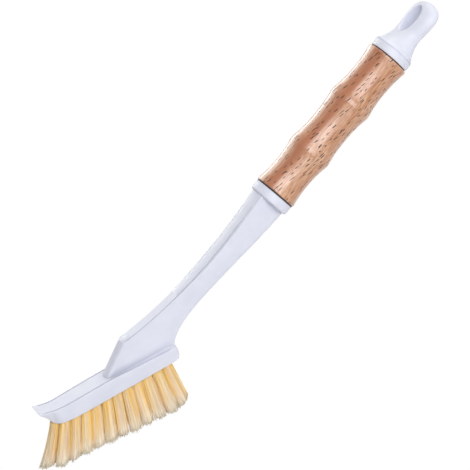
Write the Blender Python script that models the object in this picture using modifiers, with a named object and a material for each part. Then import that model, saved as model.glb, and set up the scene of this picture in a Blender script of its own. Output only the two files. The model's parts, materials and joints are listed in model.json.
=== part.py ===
"""Window track brush: one moulding for head, neck and collar, a turned wooden grip, a hanging cap,
and bristle tufts that are driven into drilled holes, each folded round a flat steel anchor.

Metres, +Z up. The brush lies as it does on a table, on its rear bristle tips and the cap's flange.
Inside the handle's own frame, x runs along the grip towards the hanging end, with zero at the grip's
head-side end, z points to the back of the brush and y across it. The head has a frame of its own,
at the heel, turned by the head's tilt.
"""

import math

import bmesh
import bpy
from mathutils import Matrix, Vector
from mathutils.geometry import interpolate_bezier

# Fits between pieces that touch
FIT_GAP = 0.0003
SHADOW_GAP = 0.0006
CUT_OVERRUN = 0.003
MERGE_DISTANCE = 0.00001

# Wooden grip, turned with two knots like a cane
GRIP_LENGTH = 0.0876
GRIP_HEAD_END_RADIUS = 0.0114
GRIP_CAP_END_RADIUS = 0.0115
GRIP_KNOT_RADIUS = 0.0116
GRIP_WAIST_RADIUS = 0.0103
GRIP_EDGE_ROUND = 0.0006
GRIP_BORE_RADIUS = 0.0060
GRIP_KNOT_SHARES = (0.306, 0.665)
KNOT_CREST_SHARE = 0.07
WAIST_POWER = 2.3
WAIST_STEPS = 10

# Collar and the spigot that plugs into the grip
COLLAR_RADIUS = 0.0109
COLLAR_LENGTH = 0.0052
COLLAR_ROUND = 0.0013
SEAT_INSET = 0.0015
SPIGOT_TIP_ROUND = 0.0010
SPIGOT_SINK = 0.0030
BODY_SPIGOT_LENGTH = 0.0340
CAP_SPIGOT_LENGTH = 0.0220
RIB_COUNT = 4
RIB_HEIGHT = 0.0010
RIB_WIDTH = 0.0012
RIB_END_INSET = 0.0030

# Head block: its foot is the bristle face, its deck the face on the back
HEEL_REACH = 0.0932
HEEL_DROP = 0.0178
HEAD_TILT = math.radians(25.0)
HEAD_LENGTH = 0.0780
HEAD_HEIGHT = 0.0098
FOOT_WIDTH = 0.0112
DECK_WIDTH = 0.0125
CREST_WIDTH_SHARE = 0.52
FOOT_EDGE_ROUND = 0.0008
DECK_EDGE_ROUND = 0.0006
EDGE_ROUND_LIMIT_SHARE = 0.4

# Head stations, from the heel to the scraping lip: length, heights of foot, rim and crest, and
# widths of foot and deck
HEAD_SHARES = (
    (0.000, 0.16, 0.46, 0.60, 0.40, 0.42),
    (0.005, 0.06, 0.60, 0.76, 0.55, 0.53),
    (0.012, 0.02, 0.68, 0.86, 0.70, 0.66),
    (0.023, 0.00, 0.72, 0.92, 0.83, 0.78),
    (0.041, 0.00, 0.75, 0.96, 0.92, 0.88),
    (0.067, 0.00, 0.77, 0.98, 0.98, 0.95),
    (0.115, 0.00, 0.80, 0.98, 1.00, 1.00),
    (0.235, 0.00, 0.86, 0.98, 1.00, 1.00),
    (0.330, 0.00, 0.91, 0.99, 1.00, 1.00),
    (0.415, 0.00, 0.97, 1.00, 1.00, 1.00),
    (0.495, 0.00, 1.00, 1.01, 1.00, 1.00),
    (0.620, 0.00, 0.99, 1.00, 1.00, 1.00),
    (0.740, 0.01, 0.97, 0.98, 1.00, 0.99),
    (0.820, 0.04, 0.96, 0.97, 0.98, 0.96),
    (0.875, 0.08, 0.98, 0.99, 0.94, 0.91),
    (0.905, 0.11, 1.01, 1.02, 0.74, 0.89),
    (0.926, 0.15, 1.05, 1.06, 0.48, 0.88),
    (0.950, 0.55, 1.10, 1.11, 0.66, 0.87),
    (0.975, 0.90, 1.16, 1.17, 0.82, 0.87),
    (1.000, 1.16, 1.235, 1.24, 0.90, 0.86),
)

# Fin: the neck's end, which stands on the deck with a sloping front that is rounded across
FIN_FOOT_REACH = 0.0402
FIN_TOP_REACH = 0.0253
FIN_TOP_HEIGHT = 0.0237
FIN_THICKNESS = 0.0068
FIN_EDGE_ROUND = 0.0004
FIN_NOSE_DEPTH = 0.0016
FIN_NOSE_SIDE = 0.0026
FIN_NOSE_STEPS = 5
FIN_SINK = 0.0020

# Neck: a rounded bar between two smooth curves, thickest at the collar
NECK_BACK_DEPTH = 0.0089
NECK_FRONT_DEPTH = 0.0093
NECK_ROOT_THICKNESS = 0.0102
NECK_BACK_ROUND = 0.0009
NECK_FRONT_ROUND = 0.0032
NECK_FRONT_EDGE_ROUND = 0.0015
NECK_SINK = 0.0020
NECK_STEPS = 22
NECK_TAPER_SHARES = (0.38, 0.76)
BACK_HANDLE_SHARES = ((0.39, 0.47), (0.70, 0.66))
FRONT_HANDLE_SHARES = ((0.40, 0.93), (0.94, -0.18))
HEEL_SEAT_SHARES = (0.008, 0.43)

# Hanging cap stations, from its wood-side face to its tip: length, width, depth
CAP_LENGTH = 0.0345
CAP_RADIUS = 0.0110
CAP_SIDES = 32
CAP_SHARES = (
    (0.000, 0.970, 0.970),
    (0.015, 0.995, 0.995),
    (0.107, 1.000, 1.000),
    (0.131, 0.985, 0.975),
    (0.170, 0.920, 0.875),
    (0.243, 0.855, 0.735),
    (0.317, 0.800, 0.635),
    (0.390, 0.775, 0.570),
    (0.463, 0.790, 0.535),
    (0.545, 0.850, 0.515),
    (0.623, 0.905, 0.505),
    (0.711, 0.935, 0.500),
    (0.785, 0.930, 0.495),
    (0.852, 0.870, 0.485),
    (0.910, 0.750, 0.445),
    (0.958, 0.550, 0.350),
    (0.987, 0.310, 0.210),
    (1.000, 0.080, 0.060),
)

# Oval hole through the cap, whose edges flare out as a quarter round
EYE_LENGTH = 0.0155
EYE_WIDTH = 0.0092
EYE_ROUND = 0.0013
EYE_TIP_WALL = 0.0047
EYE_SIDES = 28
EYE_ROUND_STEPS = 3
EYE_DEPTH_SHARE = 0.5

# Tuft holes: two rows nearly side by side, and one hole on the centre line at the nose
ROW_COUNT = 11
ROW_REAR_INSET = 0.0087
ROW_FRONT_SHARE = 0.849
ROW_STAGGER = 0.0012
NOSE_TUFT_SHARE = 0.903
HOLE_RADIUS = 0.0017
HOLE_SIDE_WALL = 0.0009
HOLE_TOP_WALL = 0.0030
HOLE_SIDES = 12
REAR_LEAN = math.radians(-2.5)
FRONT_LEAN = math.radians(31.0)
SIDE_LEAN = math.radians(3.5)

# Steel anchor in each hole, set across the head and wedged in slots in the hole's wall
ANCHOR_BITE = 0.0003
ANCHOR_HEIGHT = 0.0016
ANCHOR_THICKNESS = 0.00035
ANCHOR_INSET = 0.0021

# Bristles: each strand is a three-sided rod that leaves the folded root
STRAND_COUNT = 18
STRAND_SIDES = 3
STRAND_ROOT_RADIUS = 0.00020
STRAND_TIP_RADIUS = 0.00034
STRAND_SINK = 0.0006
ROOT_SINK = 0.0003
RAGGED_SHARE = 0.05
TIP_FILL_SHARE = 0.84
SIDE_SPREAD = 0.0021
GOLDEN_ANGLE = math.pi * (3.0 - math.sqrt(5.0))
GOLDEN_SHARE = 0.618034

# Bristle tips, cut to a slope that starts this deep under the heel, and the rear corner that is worn
# flat where it stands on the table
TIP_DEPTH = 0.0269
TIP_TILT = math.radians(4.6)
TRIM_LOSS = 0.0033

# Sizes that follow from the ones above
SPIGOT_RADIUS = GRIP_BORE_RADIUS - RIB_HEIGHT
ROW_SPACING = FOOT_WIDTH - 2 * (HOLE_SIDE_WALL + HOLE_RADIUS)
ROW_FRONT_REACH = ROW_FRONT_SHARE * HEAD_LENGTH
NOSE_TUFT_REACH = NOSE_TUFT_SHARE * HEAD_LENGTH
ROW_PITCH = (ROW_FRONT_REACH - ROW_REAR_INSET) / (ROW_COUNT - 1)
HOLE_DEPTH = HEAD_HEIGHT - HOLE_TOP_WALL
ANCHOR_DEPTH = HOLE_DEPTH - ANCHOR_INSET
ANCHOR_WIDTH = 2 * (HOLE_RADIUS + ANCHOR_BITE)
TRIM_REACH = ROW_REAR_INSET + TIP_DEPTH * math.tan(REAR_LEAN) - HOLE_RADIUS
TRIM_DEPTH = TIP_DEPTH - TRIM_REACH * math.tan(TIP_TILT) - TRIM_LOSS
EYE_PLACE = GRIP_LENGTH + SHADOW_GAP + CAP_LENGTH - EYE_TIP_WALL - EYE_LENGTH / 2

ROUND_SIDES = 40
SPIGOT_SIDES = 24
ARC_STEPS = 3
SHARP_ANGLE = math.radians(35.0)

# Finishes: base colour, metallic, roughness
FINISHES = {
    "white_plastic": ((0.78, 0.79, 0.86, 1.0), 0.0, 0.35),
    "lacquered_beech": ((0.60, 0.33, 0.18, 1.0), 0.0, 0.30),
    "cream_bristle": ((0.86, 0.66, 0.40, 1.0), 0.0, 0.45),
    "anchor_steel": ((0.62, 0.63, 0.65, 1.0), 1.0, 0.35),
}


def clear_scene():
    """Start from an empty scene."""
    for item in list(bpy.data.objects):
        bpy.data.objects.remove(item, do_unlink=True)


def make_collection(name):
    """Add a collection to the scene."""
    collection = bpy.data.collections.new(name)
    bpy.context.scene.collection.children.link(collection)
    return collection


def make_material(name):
    """Make one finish as a Principled material."""
    colour, metallic, roughness = FINISHES[name]
    material = bpy.data.materials.new(name)
    material.use_nodes = True
    shader = material.node_tree.nodes["Principled BSDF"]
    shader.inputs["Base Color"].default_value = colour
    shader.inputs["Metallic"].default_value = metallic
    shader.inputs["Roughness"].default_value = roughness
    material.diffuse_color = colour
    return material


def make_empty(name, parent, location=(0.0, 0.0, 0.0), turn_y=0.0):
    """Add an empty that carries other objects."""
    empty = bpy.data.objects.new(name, None)
    PARTS.objects.link(empty)
    empty.parent = parent
    empty.location = location
    empty.rotation_euler.y = turn_y
    return empty


def add_object(name, mesh, parent, cutter=False):
    """Link a mesh as a part, or as a cutter that doesn't show."""
    item = bpy.data.objects.new(name, mesh)
    item.parent = parent
    if cutter:
        CUTTERS.objects.link(item)
        item.hide_render = True
        item.display_type = "WIRE"
    else:
        PARTS.objects.link(item)
    return item


def mesh_from(bm, name):
    """Turn a bmesh into a mesh that faces outwards and is shaded smooth where it is round."""
    bmesh.ops.recalc_face_normals(bm, faces=bm.faces)
    mesh = bpy.data.meshes.new(name)
    bm.to_mesh(mesh)
    bm.free()
    mesh.shade_smooth()
    mesh.set_sharp_from_angle(angle=SHARP_ANGLE)
    return mesh


def boolean(item, other, operation):
    """Join or cut an object with another one."""
    modifier = item.modifiers.new(f"{operation.lower()}_{other.name}", "BOOLEAN")
    modifier.operation = operation
    modifier.object = other
    modifier.solver = "EXACT"


def loft_mesh(name, rings):
    """Skin over rings of equally many points, closed by a face at either end."""
    bm = bmesh.new()
    loops = [[bm.verts.new(point) for point in ring] for ring in rings]
    for ring, following in zip(loops, loops[1:]):
        for index in range(len(ring)):
            after = (index + 1) % len(ring)
            bm.faces.new((ring[index], ring[after], following[after], following[index]))
    bm.faces.new(loops[0])
    bm.faces.new(loops[-1])
    return mesh_from(bm, name)


def turned(name, profile, parent, sides, hollow=False, cutter=False):
    """Turn a profile of (radius, height) pairs, from top to bottom, round the handle's x axis."""
    mesh = bpy.data.meshes.new(name)
    edges = [(index, index + 1) for index in range(len(profile) - 1)]
    if hollow:
        edges.append((len(profile) - 1, 0))
    mesh.from_pydata([(radius, 0.0, height) for radius, height in profile], edges, [])
    item = add_object(name, mesh, parent, cutter)
    item.rotation_euler.y = math.pi / 2
    screw = item.modifiers.new("turn", "SCREW")
    screw.steps = sides
    screw.render_steps = sides
    screw.use_merge_vertices = True
    screw.merge_threshold = MERGE_DISTANCE
    return item


def arc_points(centre_radius, centre_height, radius, start, end, steps=ARC_STEPS):
    """Points of an arc in a turned profile, with angles measured from the outward direction."""
    angles = [start + (end - start) * step / steps for step in range(steps + 1)]
    return [(centre_radius + radius * math.cos(a), centre_height + radius * math.sin(a)) for a in angles]


def rounded_ring(corners, radii):
    """Round each corner of a convex outline into an arc, as flat pairs; a corner of no radius stays."""
    ring = []
    for index, corner in enumerate(corners):
        here = Vector(corner)
        if not radii[index]:
            ring.append(here)
            continue
        to_last = Vector(corners[index - 1]) - here
        to_next = Vector(corners[(index + 1) % len(corners)]) - here
        shortest = min(to_last.length, to_next.length)
        radius = min(radii[index], EDGE_ROUND_LIMIT_SHARE * shortest)
        half = to_last.angle(to_next) / 2
        centre = here + (to_last.normalized() + to_next.normalized()).normalized() * radius / math.sin(half)
        first = here + to_last.normalized() * radius / math.tan(half) - centre
        last = here + to_next.normalized() * radius / math.tan(half) - centre
        sweep = first.angle_signed(last)
        for step in range(ARC_STEPS + 1):
            turn = Matrix.Rotation(-sweep * step / ARC_STEPS, 2)
            ring.append(centre + turn @ first)
    return ring


def bar_ring(back, front, half_thickness, back_round, front_round):
    """Ring of a rounded bar between a point on its back and one on its front, both as (x, z)."""
    back, front = Vector(back), Vector(front)
    depth = (back - front).length
    half = half_thickness
    corners = ((-half, 0.0), (half, 0.0), (half, depth), (-half, depth))
    ring = rounded_ring(corners, (front_round, front_round, back_round, back_round))
    points = []
    for y, height in ring:
        place = front.lerp(back, height / depth)
        points.append((place.x, y, place.y))
    return points


def head_place(reach, height):
    """Place of a head point in the handle's frame, as (x, z)."""
    x = -HEEL_REACH - reach * math.cos(HEAD_TILT) + height * math.sin(HEAD_TILT)
    z = -HEEL_DROP + reach * math.sin(HEAD_TILT) + height * math.cos(HEAD_TILT)
    return x, z


def grip_profile():
    """Outer line of the grip from its cap end to its head end: three waists between crests."""
    crests = [0.0, *GRIP_KNOT_SHARES, 1.0]
    radii = [GRIP_HEAD_END_RADIUS, GRIP_KNOT_RADIUS, GRIP_KNOT_RADIUS, GRIP_CAP_END_RADIUS]
    profile = []
    for index in range(len(crests) - 1):
        for step in range(WAIST_STEPS + 1):
            share = step / WAIST_STEPS
            from_waist = abs(2 * share - 1)
            crest = radii[index] if 2 * step < WAIST_STEPS else radii[index + 1]
            rise = min(from_waist / (1 - KNOT_CREST_SHARE), 1.0) ** WAIST_POWER
            radius = GRIP_WAIST_RADIUS + (crest - GRIP_WAIST_RADIUS) * rise
            height = GRIP_LENGTH * (crests[index] + (crests[index + 1] - crests[index]) * share)
            if not profile or height > profile[-1][1] + MERGE_DISTANCE:
                profile.append((radius, height))
    first_radius, last_radius = profile[0][0], profile[-1][0]
    profile[0] = (first_radius, GRIP_EDGE_ROUND)
    profile[-1] = (last_radius, GRIP_LENGTH - GRIP_EDGE_ROUND)
    profile.insert(0, (first_radius - GRIP_EDGE_ROUND, 0.0))
    profile.append((last_radius - GRIP_EDGE_ROUND, GRIP_LENGTH))
    return profile[::-1]


def make_grip(handle):
    """Turn the wooden grip, bored through for the two spigots."""
    profile = grip_profile() + [(GRIP_BORE_RADIUS, 0.0), (GRIP_BORE_RADIUS, GRIP_LENGTH)]
    grip = turned("wood_grip", profile, handle, ROUND_SIDES, hollow=True)
    grip.data.materials.append(MATERIALS["lacquered_beech"])
    return grip


def spigot_profile(length, rim_radius):
    """Spigot and the seat behind it, from the spigot's tip down to the shadow gap."""
    seat_radius = rim_radius - SEAT_INSET
    return [
        (0.0, length),
        (SPIGOT_RADIUS - SPIGOT_TIP_ROUND, length),
        (SPIGOT_RADIUS, length - SPIGOT_TIP_ROUND),
        (SPIGOT_RADIUS, -FIT_GAP),
        (seat_radius, -FIT_GAP),
        (seat_radius, -SHADOW_GAP),
    ]


def make_ribs(name, start, length, parent):
    """Crush ribs along a spigot, which grip the bore."""
    rib_top = GRIP_BORE_RADIUS - FIT_GAP
    rib_base = SPIGOT_RADIUS * math.cos(math.pi / RIB_COUNT)
    bm = bmesh.new()
    for index in range(RIB_COUNT):
        size = Matrix.Diagonal((length, RIB_WIDTH, rib_top - rib_base, 1.0))
        place = Matrix.Translation((start + length / 2, 0.0, (rib_top + rib_base) / 2))
        turn = Matrix.Rotation(2 * math.pi * index / RIB_COUNT, 4, "X")
        bmesh.ops.create_cube(bm, size=1.0, matrix=turn @ place @ size)
    return add_object(name, mesh_from(bm, name), parent, cutter=True)


def neck_mesh():
    """Loft the neck from the collar to the fin's sloping front, which narrows as a quarter ellipse."""
    top = Vector(head_place(FIN_TOP_REACH, FIN_TOP_HEIGHT))
    foot = Vector(head_place(FIN_FOOT_REACH, HEAD_HEIGHT))
    seat_reach_share, seat_height_share = HEEL_SEAT_SHARES
    heel = Vector(head_place(seat_reach_share * HEAD_LENGTH, seat_height_share * HEAD_HEIGHT))
    back_root = Vector((-COLLAR_LENGTH, NECK_BACK_DEPTH))
    front_root = Vector((-COLLAR_LENGTH, -NECK_FRONT_DEPTH))

    def curve(root, end, shares, depth):
        handles = []
        for along, drop in shares:
            side = math.copysign(1.0, root.y)
            handles.append(Vector((root.x + along * (end.x - root.x), side * drop * depth)))
        points = interpolate_bezier(root, handles[0], handles[1], end, NECK_STEPS + 1)
        return [Vector((point.x, point.y)) for point in points]

    down_face = (foot - top).normalized()
    outward = Vector((down_face.y, -down_face.x))
    sunk_foot = foot + down_face * FIN_SINK
    backs = curve(back_root, top, BACK_HANDLE_SHARES, NECK_BACK_DEPTH)
    along_back = (backs[-1] - backs[-2]).normalized()
    nose_run = FIN_NOSE_DEPTH / outward.dot(along_back)
    back_end = top - along_back * (nose_run + FIN_NOSE_DEPTH)
    backs = curve(back_root, back_end, BACK_HANDLE_SHARES, NECK_BACK_DEPTH)
    fronts = curve(front_root, heel, FRONT_HANDLE_SHARES, NECK_FRONT_DEPTH)
    inside = Vector((NECK_SINK, 0.0))
    rings = [bar_ring(back_root + inside, front_root + inside, NECK_ROOT_THICKNESS / 2,
                      NECK_BACK_ROUND, NECK_FRONT_ROUND)]
    taper_start, taper_end = NECK_TAPER_SHARES
    for back, front in zip(backs, fronts):
        run = (back_root.x - back.x) / (back_root.x - top.x)
        narrowed = min(max((run - taper_start) / (taper_end - taper_start), 0.0), 1.0)
        taper = 1 - narrowed * narrowed * (3 - 2 * narrowed)
        half = (FIN_THICKNESS + (NECK_ROOT_THICKNESS - FIN_THICKNESS) * taper) / 2
        back_round = FIN_EDGE_ROUND + (NECK_BACK_ROUND - FIN_EDGE_ROUND) * taper
        front_round = NECK_FRONT_EDGE_ROUND + (NECK_FRONT_ROUND - NECK_FRONT_EDGE_ROUND) * taper
        rings.append(bar_ring(back, front, half, back_round, front_round))
    for step in range(FIN_NOSE_STEPS + 1):
        turn = math.pi / 2 * step / FIN_NOSE_STEPS
        behind = 1 - math.sin(turn)
        half = FIN_THICKNESS / 2 - FIN_NOSE_SIDE * (1 - math.cos(turn))
        back = top - along_back * nose_run * behind
        front = sunk_foot - outward * FIN_NOSE_DEPTH * behind
        rings.append(bar_ring(back, front, half, FIN_EDGE_ROUND, NECK_FRONT_EDGE_ROUND))
    return loft_mesh("neck", rings)


def head_mesh():
    """Loft the head block, with its rounded heel, narrow nose and thin lip."""
    rings = []
    for along, low, rim, crest, foot_share, deck_share in HEAD_SHARES:
        foot_half = FOOT_WIDTH * foot_share / 2
        deck_half = DECK_WIDTH * deck_share / 2
        crest_half = CREST_WIDTH_SHARE * deck_half
        foot_z, rim_z, crest_z = low * HEAD_HEIGHT, rim * HEAD_HEIGHT, crest * HEAD_HEIGHT
        corners = ((-foot_half, foot_z), (foot_half, foot_z), (deck_half, rim_z),
                   (crest_half, crest_z), (-crest_half, crest_z), (-deck_half, rim_z))
        radii = (FOOT_EDGE_ROUND, FOOT_EDGE_ROUND, DECK_EDGE_ROUND, 0.0, 0.0, DECK_EDGE_ROUND)
        rings.append([(-along * HEAD_LENGTH, y, z) for y, z in rounded_ring(corners, radii)])
    return loft_mesh("head", rings)


def foot_height(reach):
    """Height of the bristle face at a reach, which lifts towards the nose."""
    for (start, low, *_), (end, next_low, *_) in zip(HEAD_SHARES, HEAD_SHARES[1:]):
        share = (reach / HEAD_LENGTH - start) / (end - start)
        if share <= 1:
            return HEAD_HEIGHT * (low + (next_low - low) * share)
    return 0.0


def tuft_sites():
    """Name, reach, side offset and side lean of each tuft."""
    sites = []
    for index in range(ROW_COUNT):
        reach = ROW_REAR_INSET + ROW_PITCH * index
        sites.append((f"near_{index + 1:02d}", reach, -ROW_SPACING / 2, -SIDE_LEAN))
        sites.append((f"far_{index + 1:02d}", reach + ROW_STAGGER, ROW_SPACING / 2, SIDE_LEAN))
    sites.append(("nose", NOSE_TUFT_REACH, 0.0, 0.0))
    return sites


def tuft_lean(reach):
    """Forward lean of a tuft, from slightly back at the heel to well forward at the nose."""
    share = (reach - ROW_REAR_INSET) / (NOSE_TUFT_REACH - ROW_REAR_INSET)
    return REAR_LEAN + (FRONT_LEAN - REAR_LEAN) * share


def strand_length(reach):
    """Length of a tuft from its hole's mouth to the sloping cut of the tips."""
    lean, slope = tuft_lean(reach), math.tan(TIP_TILT)
    return (TIP_DEPTH + foot_height(reach) - slope * reach) / (math.cos(lean) + slope * math.sin(lean))


def tuft_frame(reach, offset, side_lean):
    """Frame at a hole's mouth in the head's frame, with +z out along the tuft."""
    turn = Matrix.Rotation(tuft_lean(reach), 4, "Y") @ Matrix.Rotation(side_lean, 4, "X")
    return Matrix.Translation((-reach, offset, foot_height(reach))) @ turn @ Matrix.Rotation(math.pi, 4, "X")


def add_plate(bm, frame, width, thickness, height):
    """Add an upright plate across the head, at the anchor's depth in a tuft."""
    place = Matrix.Translation((0.0, 0.0, -ANCHOR_DEPTH))
    size = Matrix.Diagonal((thickness, width, height, 1.0))
    bmesh.ops.create_cube(bm, size=1.0, matrix=frame @ place @ size)


def add_rod(bm, frame, start, end, start_radius, end_radius, sides):
    """Add a tapered rod between two points of a tuft's frame."""
    start, end = Vector(start), Vector(end)
    turn = (end - start).to_track_quat("Z", "Y").to_matrix().to_4x4()
    place = Matrix.Translation((start + end) / 2) @ turn
    bmesh.ops.create_cone(bm, cap_ends=True, segments=sides, radius1=start_radius, radius2=end_radius,
                          depth=(end - start).length, matrix=frame @ place)


def make_hole_cutters(head):
    """Cutters for all the tuft holes and for the anchors' slots in their walls."""
    holes, slots = bmesh.new(), bmesh.new()
    for _, reach, offset, side_lean in tuft_sites():
        frame = tuft_frame(reach, offset, side_lean)
        add_rod(holes, frame, (0.0, 0.0, -HOLE_DEPTH), (0.0, 0.0, CUT_OVERRUN),
                HOLE_RADIUS, HOLE_RADIUS, HOLE_SIDES)
        add_plate(slots, frame, ANCHOR_WIDTH + 2 * FIT_GAP, ANCHOR_THICKNESS + 2 * FIT_GAP,
                  ANCHOR_HEIGHT + 2 * FIT_GAP)
    hole_cutter = add_object("tuft_holes", mesh_from(holes, "tuft_holes"), head, cutter=True)
    slot_cutter = add_object("anchor_slots", mesh_from(slots, "anchor_slots"), head, cutter=True)
    return hole_cutter, slot_cutter


def make_body(handle, head):
    """Mould head, fin, neck, collar and spigot as one piece, and drill it."""
    profile = spigot_profile(BODY_SPIGOT_LENGTH, COLLAR_RADIUS)
    profile.append((COLLAR_RADIUS, -SHADOW_GAP))
    profile += arc_points(COLLAR_RADIUS - COLLAR_ROUND, COLLAR_ROUND - COLLAR_LENGTH - SHADOW_GAP,
                          COLLAR_ROUND, 0.0, -math.pi / 2)
    profile.append((0.0, -COLLAR_LENGTH - SHADOW_GAP))
    body = turned("brush_body", profile, handle, ROUND_SIDES)
    body.data.materials.append(MATERIALS["white_plastic"])
    neck = add_object("neck_bar", neck_mesh(), handle, cutter=True)
    block = add_object("head_block", head_mesh(), head, cutter=True)
    rib_length = BODY_SPIGOT_LENGTH - 2 * RIB_END_INSET
    ribs = make_ribs("body_ribs", RIB_END_INSET, rib_length, handle)
    for joined in (neck, block, ribs):
        boolean(body, joined, "UNION")
    for cutter in make_hole_cutters(head):
        boolean(body, cutter, "DIFFERENCE")
    return body


def ellipse_ring(height, half_length, half_width, sides):
    """Flat ellipse at one height of the hanging hole's cutter."""
    turns = [2 * math.pi * index / sides for index in range(sides)]
    return [(half_length * math.cos(turn), half_width * math.sin(turn), height) for turn in turns]


def eye_mesh():
    """Cutter for the hanging hole: straight in the middle, flared as a quarter round at both faces."""
    face = CAP_RADIUS * EYE_DEPTH_SHARE
    levels = []
    for step in range(EYE_ROUND_STEPS + 1):
        turn = math.pi / 2 * step / EYE_ROUND_STEPS
        levels.append((face - EYE_ROUND * (1 - math.sin(turn)), EYE_ROUND * (1 - math.cos(turn))))
    levels.append((face + CUT_OVERRUN, EYE_ROUND))
    levels = [(-height, grow) for height, grow in reversed(levels)] + levels
    rings = []
    for height, grow in levels:
        rings.append(ellipse_ring(height, EYE_LENGTH / 2 + grow, EYE_WIDTH / 2 + grow, EYE_SIDES))
    return loft_mesh("hanging_eye", rings)


def cap_mesh():
    """Loft the cap from its round flange to the flat loop at its end."""
    start = GRIP_LENGTH + SHADOW_GAP
    rings = []
    for along, width, depth in CAP_SHARES:
        ring = []
        for index in range(CAP_SIDES):
            turn = 2 * math.pi * index / CAP_SIDES
            y = CAP_RADIUS * width * math.sin(turn)
            z = -CAP_RADIUS * depth * math.cos(turn)
            ring.append((start + along * CAP_LENGTH, y, z))
        rings.append(ring)
    return loft_mesh("end_cap", rings)


def make_cap(handle):
    """Mould the hanging cap, with its own ribbed spigot."""
    cap = add_object("end_cap", cap_mesh(), handle)
    cap.data.materials.append(MATERIALS["white_plastic"])
    profile = spigot_profile(CAP_SPIGOT_LENGTH, CAP_RADIUS)
    seat_radius, seat_end = profile.pop()
    profile.append((seat_radius, seat_end - SPIGOT_SINK))
    profile.append((0.0, seat_end - SPIGOT_SINK))
    spigot = turned("cap_spigot", profile, handle, SPIGOT_SIDES, cutter=True)
    spigot.location.x = GRIP_LENGTH
    spigot.rotation_euler.y = -math.pi / 2
    rib_length = CAP_SPIGOT_LENGTH - 2 * RIB_END_INSET
    ribs = make_ribs("cap_ribs", GRIP_LENGTH - CAP_SPIGOT_LENGTH + RIB_END_INSET, rib_length, handle)
    eye = add_object("hanging_eye", eye_mesh(), handle, cutter=True)
    eye.location.x = EYE_PLACE
    for joined in (spigot, ribs):
        boolean(cap, joined, "UNION")
    boolean(cap, eye, "DIFFERENCE")
    return cap


def strands_mesh(name, tuft_length, tip_half):
    """Strands of one tuft in its own frame, spread like the seeds of a sunflower and never crossing."""
    bm = bmesh.new()
    root_spread = HOLE_RADIUS - FIT_GAP - STRAND_ROOT_RADIUS
    for index in range(STRAND_COUNT):
        out = math.sqrt((2 * index + 1) / (2 * STRAND_COUNT))
        turn = index * GOLDEN_ANGLE
        across, aside = out * math.cos(turn), out * math.sin(turn)
        length = tuft_length * (1 - RAGGED_SHARE * ((index * GOLDEN_SHARE) % 1.0))
        root = (root_spread * across, root_spread * aside, -ROOT_SINK - STRAND_SINK)
        tip = (tip_half * across, SIDE_SPREAD * aside, length)
        add_rod(bm, Matrix.Identity(4), root, tip, STRAND_ROOT_RADIUS, STRAND_TIP_RADIUS, STRAND_SIDES)
    return mesh_from(bm, name)


def make_tuft(label, site_frame, tuft_length, tip_half, head, trim):
    """Make one tuft: a root that fills its hole, slotted for the anchor, and its strands."""
    root = bmesh.new()
    add_rod(root, Matrix.Identity(4), (0.0, 0.0, FIT_GAP - HOLE_DEPTH), (0.0, 0.0, -ROOT_SINK),
            HOLE_RADIUS - FIT_GAP, HOLE_RADIUS - FIT_GAP, HOLE_SIDES)
    tuft = add_object(f"tuft_{label}", mesh_from(root, f"tuft_{label}"), head)
    tuft.data.materials.append(MATERIALS["cream_bristle"])
    strand_bundle = strands_mesh(f"strands_{label}", tuft_length, tip_half)
    strands = add_object(f"strands_{label}", strand_bundle, head, cutter=True)
    slot_mesh = bmesh.new()
    add_plate(slot_mesh, Matrix.Identity(4), 2 * HOLE_RADIUS + CUT_OVERRUN,
              ANCHOR_THICKNESS + 2 * FIT_GAP, ANCHOR_HEIGHT + 2 * FIT_GAP)
    slot = add_object(f"slot_{label}", mesh_from(slot_mesh, f"slot_{label}"), head, cutter=True)
    for item in (tuft, strands, slot):
        item.location = site_frame.to_translation()
        item.rotation_euler = site_frame.to_euler()
    boolean(tuft, strands, "UNION")
    boolean(tuft, slot, "DIFFERENCE")
    if trim:
        boolean(tuft, trim, "DIFFERENCE")
    return tuft


def make_anchor(label, mesh, site_frame, head):
    """Place one steel anchor in its tuft."""
    anchor = add_object(f"anchor_{label}", mesh, head)
    anchor.location = site_frame.to_translation()
    anchor.rotation_euler = site_frame.to_euler()
    return anchor


def rest_slope():
    """Slope of the table under the brush, in the handle's frame, from the worn tips to the handle."""
    tip_x, tip_z = head_place(TRIM_REACH, -TRIM_DEPTH)
    rims = [(height, radius) for radius, height in grip_profile()]
    start = GRIP_LENGTH + SHADOW_GAP
    rims += [(start + along * CAP_LENGTH, depth * CAP_RADIUS) for along, _, depth in CAP_SHARES]
    return min(math.atan2(-radius - tip_z, x - tip_x) for x, radius in rims)


def make_trim(handle, slope):
    """Cutter below the table, which wears the rear bristles flat."""
    tip_x, tip_z = head_place(TRIM_REACH, -TRIM_DEPTH)
    bm = bmesh.new()
    size = Matrix.Diagonal((HEAD_LENGTH, HEAD_LENGTH, TIP_DEPTH, 1.0))
    bmesh.ops.create_cube(bm, size=1.0, matrix=Matrix.Translation((0.0, 0.0, -TIP_DEPTH / 2)) @ size)
    trim = add_object("table_trim", mesh_from(bm, "table_trim"), handle, cutter=True)
    trim.location = (tip_x, 0.0, tip_z)
    trim.rotation_euler.y = -slope
    return trim


def tuft_tip_half(reach):
    """Half the length that a tuft's tips take up in their row."""
    fan = tuft_lean(reach + ROW_PITCH / 2) - tuft_lean(max(reach - ROW_PITCH / 2, ROW_REAR_INSET))
    return TIP_FILL_SHARE * (ROW_PITCH + strand_length(reach) * fan) / 2


def reaches_table(reach, slope):
    """Tell whether a tuft's rearmost strand would go below the table."""
    lean, length = tuft_lean(reach), strand_length(reach)
    tip_reach = reach + length * math.sin(lean) - tuft_tip_half(reach)
    x, z = head_place(tip_reach, -length * math.cos(lean))
    tip_x, tip_z = head_place(TRIM_REACH, -TRIM_DEPTH)
    return z < tip_z + (x - tip_x) * math.tan(slope)


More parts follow.
